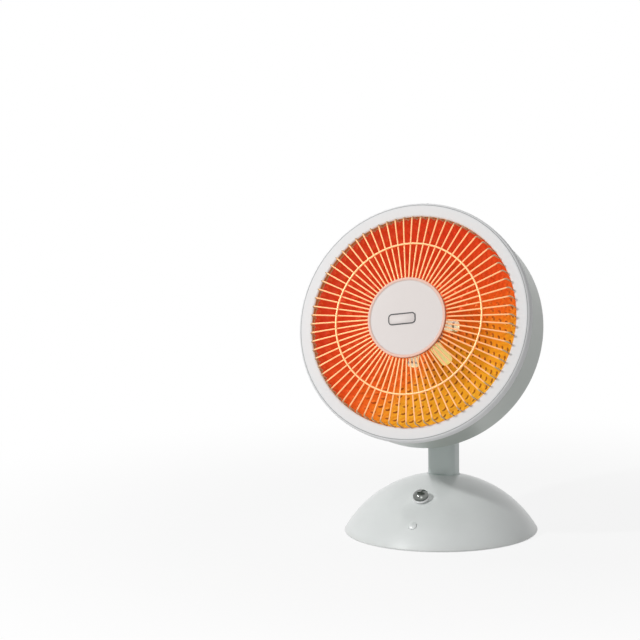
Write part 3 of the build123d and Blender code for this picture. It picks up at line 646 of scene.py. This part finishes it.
FINISHES = {
    finish.name: finish
    for finish in (
        Moulding("base_white", "white_moulding", (0.86, 0.89, 0.88), 0.32, coat=0.35, grain_depth=0.000006),
        # The neck's and the drum's greys are the same white plastic as the base, with painted shade.
        Moulding("shaded_neck_white", "white_moulding", (0.66, 0.73, 0.71), 0.36, coat=0.15, grain_depth=0.000008),
        Moulding("shaded_drum_white", "white_moulding", (0.45, 0.495, 0.455), 0.34, coat=0.2, grain_depth=0.000008),
        RingGloss(
            "ring_gloss", "white_gloss", (0.84, 0.845, 0.85), 0.55, variation=0.02, grain_depth=0.000004
        ),
        Finish(
            "skirt_gloss", "white_gloss", (0.85, 0.86, 0.86), 0.2,
            coat=0.4, variation=0.02, grain_depth=0.000004,
        ),
        DiscEnamel(
            "pale_enamel", "disc_enamel", (0.76, 0.70, 0.675), 0.45, variation=0.03, grain_depth=0.000004
        ),
        Finish("badge_ink", "black_plastic", (0.05, 0.05, 0.05), 0.5, grain_depth=0.000004),
        Finish("knob_chrome", "chrome", (0.2, 0.21, 0.2), 0.12, 1.0, variation=0.08, grain_depth=0.000004),
        # The wire's peach is painted reflection of the dish, and its glow is painted light.
        PlatedWire("plated_wire", "grille_wire", (1.0, 0.52, 0.24), 0.3, 0.35, glow=0.22, variation=0.12),
        # The dish's glow is painted light.
        EmbossedDish("embossed_dish", "dish", (0.86, 0.2, 0.02), 0.38, 0.45, glow=0.22),
        Finish("quartz_clear", "quartz", (0.95, 0.9, 0.8), 0.08, alpha=0.38, coat=0.5, grain_depth=0.000003),
        Glowing("hot_coil", "coil_wire", (1.0, 0.3, 0.06), 0.5, glow=1.0),
        # The ceramics' glow is painted light from the coils.
        Glowing("cap_ceramic", "ceramic", (0.80, 0.84, 0.36), 0.55, glow=0.38, grain=2500.0),
        Glowing("bush_ceramic", "ceramic", (0.84, 0.90, 0.70), 0.55, glow=0.34, grain=2500.0),
        TurnedSteel("zinc_steel", "steel", (0.55, 0.55, 0.54), 0.34, 1.0, grain=1400.0),
        Finish("painted_iron", "iron", (0.16, 0.16, 0.16), 0.6, grain=500.0, grain_depth=0.0002),
        Moulding("black_moulding", "black_plastic", (0.045, 0.045, 0.047), 0.5, dust=(0.12, 0.12, 0.11)),
        Finish("natural_nylon", "nylon", (0.78, 0.76, 0.70), 0.45),
        Finish("soft_rubber", "rubber", (0.04, 0.04, 0.04), 0.8, grain=1800.0, grain_depth=0.0001),
    )
}


def on_head(x: float, y: float, z: float) -> Vector:
    """Point on the head at rest.

    Args:
        x: millimetres across the face.
        y: millimetres up the face.
        z: millimetres out of the face.

    Returns:
        The point in metres.
    """
    return FACE_CENTRE + (ACROSS * x + FACE_UP * y + FACE_OUT * z) / MM_IN_METRE


class Assembly:
    """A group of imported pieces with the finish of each, and the body that its own pieces ride on."""

    body: Body
    looks: dict[str, tuple[str, ...]]

    def dress(self) -> None:
        """Puts each finish on its pieces."""
        for finish, names in self.looks.items():
            for name in names:
                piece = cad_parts[name]
                piece.data.materials.clear()
                piece.data.materials.append(self.material(finish))
                LOG.info("dressed %s with %s", name, finish)

    @staticmethod
    def material(finish: str) -> bpy.types.Material:
        """Finds or makes a finish's material.

        Args:
            finish: the finish's name.

        Returns:
            The material.
        """
        known = bpy.data.materials.get(finish)
        return known if known else FINISHES[finish].make()

    def add_mesh(
        self, name: str, shape: bmesh.types.BMesh, finish: str, back: str | None = None
    ) -> bpy.types.Object:
        """Turns a built mesh into a piece of this assembly.

        Args:
            name: the piece's name.
            shape: the mesh, in metres.
            finish: its finish.
            back: the finish of the faces that are marked as its back.

        Returns:
            The piece.
        """
        bmesh.ops.recalc_face_normals(shape, faces=shape.faces)
        mesh = bpy.data.meshes.new(name)
        shape.to_mesh(mesh)
        shape.free()
        for face in mesh.polygons:
            face.use_smooth = True
        mesh.set_sharp_from_angle(angle=SHARP_EDGE)
        piece = bpy.data.objects.new(name, mesh)
        bpy.context.scene.collection.objects.link(piece)
        for used in filter(None, (finish, back)):
            mesh.materials.append(self.material(used))
        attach(piece, self.body.value)
        LOG.info("made %s with %d faces", name, len(mesh.polygons))
        return piece

    def build(self) -> None:
        """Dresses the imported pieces. Assemblies with pieces of their own add them here."""
        self.dress()


class BaseAssembly(Assembly):
    """Domed base with its floor, ballast, swing drive and switches, and the small pieces that move in it."""

    body = Body.BASE
    looks = {
        "base_white": ("base_shell", "swing_button", "cord_inlet"),
        "black_moulding": (
            "base_plate", "heat_switch", "swing_switch", "tip_switch", "terminal_block", "cord_clamp",
        ),
        "soft_rubber": ("foot_ring",),
        "painted_iron": ("ballast_ring",),
        "natural_nylon": ("swivel_bush", "thrust_washer", "tip_plunger", "motor_pinion"),
        "zinc_steel": (
            "base_screws", "motor_bracket", "motor_screws", "switch_nut", "swing_motor", "tip_spring",
        ),
    }


class KnobAssembly(Assembly):
    """Chrome-capped heat knob."""

    body = Body.KNOB
    looks = {"knob_chrome": ("knob_cap",), "skirt_gloss": ("knob_skirt",), "zinc_steel": ("knob_shaft",)}


class NeckAssembly(Assembly):
    """Column that swings on the base and carries the hinge."""

    body = Body.NECK
    looks = {
        "shaded_neck_white": ("neck_front_shell", "neck_rear_shell"),
        "zinc_steel": (
            "neck_screws", "neck_tube", "tilt_fork", "hinge_pin", "hinge_nut", "friction_washers",
        ),
        "natural_nylon": ("sector_gear",),
    }


@dataclass
class HeadAssembly(Assembly):
    """Drum with its ring, cage, embossed dish and heating elements. Sizes are in millimetres."""

    dish_radius: float = 137.5
    dish_hole: float = 6.0
    dish_rim: float = 10.8
    dish_depth: float = 76.0
    dish_sheet: float = 0.8
    flange_radius: float = 144.4
    flange_start: float = 138.7
    dimple_rise: float = 1.3
    dish_rows: int = 84
    dish_segments: int = 480
    badge_width: float = 36.0
    badge_height: float = 14.5
    badge_corner: float = 5.0
    badge_line: float = 1.5
    badge_place: Span = (-5.6, -2.0)
    badge_turn: float = math.radians(8.0)
    badge_low: float = 21.3
    badge_high: float = 21.65
    badge_gap: float = 0.05
    badge_bevel: float = 0.25
    badge_crown: float = 0.1
    line_high: float = 21.85
    corner_steps: int = 10

    body = Body.HEAD
    looks = {
        "shaded_drum_white": ("drum_shell",),
        "ring_gloss": ("bezel",),
        "plated_wire": ("grille_spokes", "grille_mid_ring", "grille_rim_ring"),
        "pale_enamel": ("centre_disc",),
        "embossed_dish": ("reflector",),
        "quartz_clear": ("quartz_tubes",),
        "hot_coil": ("heating_coils",),
        "cap_ceramic": ("ceramic_caps",),
        "bush_ceramic": ("ceramic_hub", "ceramic_bushes"),
        "black_moulding": ("thermal_cutout", "tilt_knuckle"),
        "zinc_steel": (
            "bezel_lock_screw", "disc_backplate", "disc_rivets", "terminal_bands",
            "element_spider", "element_post", "knuckle_screws",
        ),
    }

    def build(self) -> None:
        """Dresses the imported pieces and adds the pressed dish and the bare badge."""
        self.dress()
        self.build_dish()
        self.build_badge()

    def build_dish(self) -> None:
        """Makes the sheet dish with its dimples pressed in, in place of the plain one."""
        shape = bmesh.new()
        rings = []
        for radius, height, pressed in self.dish_profile():
            ring = []
            for k in range(self.dish_segments):
                turn = math.tau * k / self.dish_segments
                x, y = radius * math.cos(turn), radius * math.sin(turn)
                lift = self.dimple_rise * DIMPLES.height(x, y) if pressed else 0.0
                ring.append(shape.verts.new(on_head(x, y, height + lift)))
            rings.append(ring)
        self.join_rings(shape, rings + rings[:1])
        shape.faces.ensure_lookup_table()
        front_faces = (self.dish_rows + 1) * self.dish_segments
        for face in shape.faces[front_faces:]:
            face.material_index = 1
        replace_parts(self.add_mesh("pressed_dish", shape, "embossed_dish", "zinc_steel"), "reflector")

    def dish_profile(self) -> list[tuple[float, float, bool]]:
        """Closed outline of the dish's section.

        Returns:
            Radius, height and whether the dimples reach it, for each point.
        """
        span = self.dish_radius - self.dish_hole
        radii = [self.dish_hole + span * k / self.dish_rows for k in range(self.dish_rows + 1)]
        deep = self.dish_depth - self.dish_rim
        front = [(r, deep * (r / self.dish_radius) ** 2 - self.dish_depth) for r in radii]
        flange = [
            (self.flange_radius, self.dish_sheet - self.dish_rim, False),
            (self.flange_radius, -self.dish_rim, False),
            (self.flange_start, -self.dish_rim, False),
        ]
        inner = [(r, z, True) for r, z in front]
        outer = [(r, z - self.dish_sheet, True) for r, z in reversed(front)]
        return inner + flange + outer

    @staticmethod
    def join_rings(shape: bmesh.types.BMesh, rings: list[list[bmesh.types.BMVert]]) -> None:
        """Skins a row of closed rings.

        Args:
            shape: the mesh.
            rings: rings of equally many points. The row is closed where the first one is also the last.
        """
        for near, far in zip(rings, rings[1:]):
            for k, point in enumerate(near):
                after = (k + 1) % len(near)
                shape.faces.new((point, near[after], far[after], far[k]))

    def build_badge(self) -> None:
        """Makes a bare badge: a thin plate and the line round its edge."""
        low, high, top = self.badge_low, self.badge_high, self.line_high
        inset = self.badge_line
        edge = inset + self.badge_gap
        bevel = inset + self.badge_bevel
        plate = bmesh.new()
        steps = ((edge, low), (edge, high), (bevel, high + self.badge_crown))
        loops = [self.badge_loop(plate, side, z) for side, z in steps]
        self.join_rings(plate, loops)
        plate.faces.new(loops[0])
        plate.faces.new(loops[-1])
        self.add_mesh("badge_plate", plate, "pale_enamel")
        line = bmesh.new()
        corners = ((0.0, low), (0.0, top), (inset, top), (inset, low))
        loops = [self.badge_loop(line, side, z) for side, z in corners]
        self.join_rings(line, loops + loops[:1])
        self.add_mesh("badge_line", line, "badge_ink")

    def badge_loop(self, shape: bmesh.types.BMesh, inset: float, height: float) -> list[bmesh.types.BMVert]:
        """Rounded rectangle on the disc.

        Args:
            shape: the mesh.
            inset: how far inside the badge's edge.
            height: how far out of the ring's face.

        Returns:
            The loop's points in order.
        """
        corner = self.badge_corner - inset
        half_width = self.badge_width / 2 - self.badge_corner
        half_height = self.badge_height / 2 - self.badge_corner
        middle_x, middle_y = self.badge_place
        cos, sin = math.cos(self.badge_turn), math.sin(self.badge_turn)
        points = []
        for quarter, (side, rise) in enumerate(((1, 1), (-1, 1), (-1, -1), (1, -1))):
            for k in range(self.corner_steps + 1):
                angle = math.pi / 2 * (quarter + k / self.corner_steps)
                u = side * half_width + corner * math.cos(angle)
                v = rise * half_height + corner * math.sin(angle)
                x, y = middle_x + u * cos - v * sin, middle_y + u * sin + v * cos
                points.append(shape.verts.new(on_head(x, y, height)))
        return points


@dataclass(frozen=True)
class Lamp:
    """A square lamp: its place and side in metres, and its power in watts."""

    name: str
    place: tuple[float, float, float]
    side: float
    watts: float


@dataclass
class Studio:
    """Floor, lamps and camera. Lengths are in metres, apart from the lens and sensor in millimetres."""

    camera_place: Vector = field(default_factory=lambda: Vector((0.9508, -2.6606, 0.6578)))
    azimuth: float = math.radians(22.89)
    elevation: float = math.radians(7.68)
    roll: float = math.radians(-0.78)
    lens: float = 123.75
    sensor: float = 36.0
    lamps: tuple[Lamp, ...] = (
        Lamp("key_lamp", (-1.38, -2.2, 1.72), 0.16, 38.0),
        Lamp("fill_lamp", (1.0, -2.6, 1.1), 1.2, 10.0),
        Lamp("top_lamp", (-0.7, 0.1, 2.2), 1.4, 8.0),
    )
    lamps_aim: Vector = field(default_factory=lambda: Vector((0.0, -0.03, 0.2)))
    world_light: float = 0.2
    floor_half: float = 6.0
    floor_tone: float = 0.86
    floor_mottle: float = 0.02
    floor_white: float = 0.86
    floor_fade: Span = (0.25, 0.9)

    def build(self) -> None:
        """Builds the whole studio."""
        self.floor()
        self.world()
        for lamp in self.lamps:
            self.hang(lamp)
        self.camera()

    def floor(self) -> None:
        """Pale floor, close to white in the picture, that keeps a soft shadow."""
        half = self.floor_half
        mesh = bpy.data.meshes.new("studio_floor")
        corners = [(-half, -half, 0), (half, -half, 0), (half, half, 0), (-half, half, 0)]
        mesh.from_pydata(corners, [], [(0, 1, 2, 3)])
        floor = bpy.data.objects.new("studio_floor", mesh)
        bpy.context.scene.collection.objects.link(floor)
        sheet = NodeSheet(bpy.data.materials.new("studio_floor"))
        seen = self.seen_rays(sheet)
        pale = sheet.noise(sheet.place(), 3.0) * self.floor_mottle + self.floor_tone
        colour = sheet.add("ShaderNodeCombineColor", None, {0: pale, 1: pale, 2: pale})
        matt = sheet.add("ShaderNodeBsdfDiffuse", None, {"Color": colour})
        white = sheet.add("ShaderNodeEmission", None, {"Color": WHITE, "Strength": 1.0})
        spot = sheet.place()
        away = sheet.add("ShaderNodeVectorMath", {"operation": "LENGTH"}, {0: spot}, "Value")
        share = away.above(*self.floor_fade) * (1.0 - self.floor_white) + self.floor_white
        both = sheet.add("ShaderNodeMixShader", None, {0: seen * share, 1: matt, 2: white})
        sheet.add("ShaderNodeOutputMaterial", None, {"Surface": both})
        mesh.materials.append(sheet.owner)

    @staticmethod
    def seen_rays(sheet: NodeSheet) -> Socket:
        """Mask of the rays that show the background itself.

        Args:
            sheet: the nodes to add to.

        Returns:
            1 for camera, glossy and transmitted rays.
        """
        kinds = ("Camera", "Glossy", "Transmission")
        camera, glossy, through = (sheet.add("ShaderNodeLightPath", out=f"Is {kind} Ray") for kind in kinds)
        return (camera + glossy + through).math("MINIMUM", 1.0)

    def world(self) -> None:
        """Soft even light, behind which the camera sees white."""
        world = bpy.data.worlds.new("studio_world")
        bpy.context.scene.world = world
        sheet = NodeSheet(world)
        strength = self.seen_rays(sheet) * (1.0 - self.world_light) + self.world_light
        light = sheet.add("ShaderNodeBackground", None, {"Color": WHITE, "Strength": strength})
        sheet.add("ShaderNodeOutputWorld", None, {"Surface": light})

    def hang(self, lamp: Lamp) -> None:
        """Adds a lamp that points at the heater.

        Args:
            lamp: the lamp.
        """
        data = bpy.data.lights.new(lamp.name, "AREA")
        data.size = lamp.side
        data.energy = lamp.watts
        light = bpy.data.objects.new(lamp.name, data)
        bpy.context.scene.collection.objects.link(light)
        light.location = lamp.place
        light.rotation_euler = (self.lamps_aim - Vector(lamp.place)).to_track_quat("-Z", "Y").to_euler()

    def camera(self) -> None:
        """Sets the camera where the photograph was taken."""
        a, e, roll = self.azimuth, self.elevation, self.roll
        back = Vector((math.sin(a) * math.cos(e), -math.cos(a) * math.cos(e), math.sin(e)))
        right = Vector((math.cos(a), math.sin(a), 0.0))
        up = back.cross(right)
        right, up = (
            right * math.cos(roll) + up * math.sin(roll),
            up * math.cos(roll) - right * math.sin(roll),
        )
        data = bpy.data.cameras.new("photo_camera")
        data.lens = self.lens
        data.sensor_width = self.sensor
        camera = bpy.data.objects.new("photo_camera", data)
        bpy.context.scene.collection.objects.link(camera)
        basis = Matrix((right, up, back)).transposed().to_4x4()
        camera.matrix_world = Matrix.Translation(self.camera_place) @ basis
        bpy.context.scene.camera = camera


def main() -> None:
    """Builds the studio and dresses the heater."""
    logging.basicConfig(level=logging.INFO, format="%(message)s")
    bpy.context.scene.view_settings.view_transform = "Standard"
    for part in (Studio(), BaseAssembly(), KnobAssembly(), NeckAssembly(), HeadAssembly()):
        part.build()
        LOG.info("built %s", type(part).__name__)


if __name__ == "__main__":
    main()
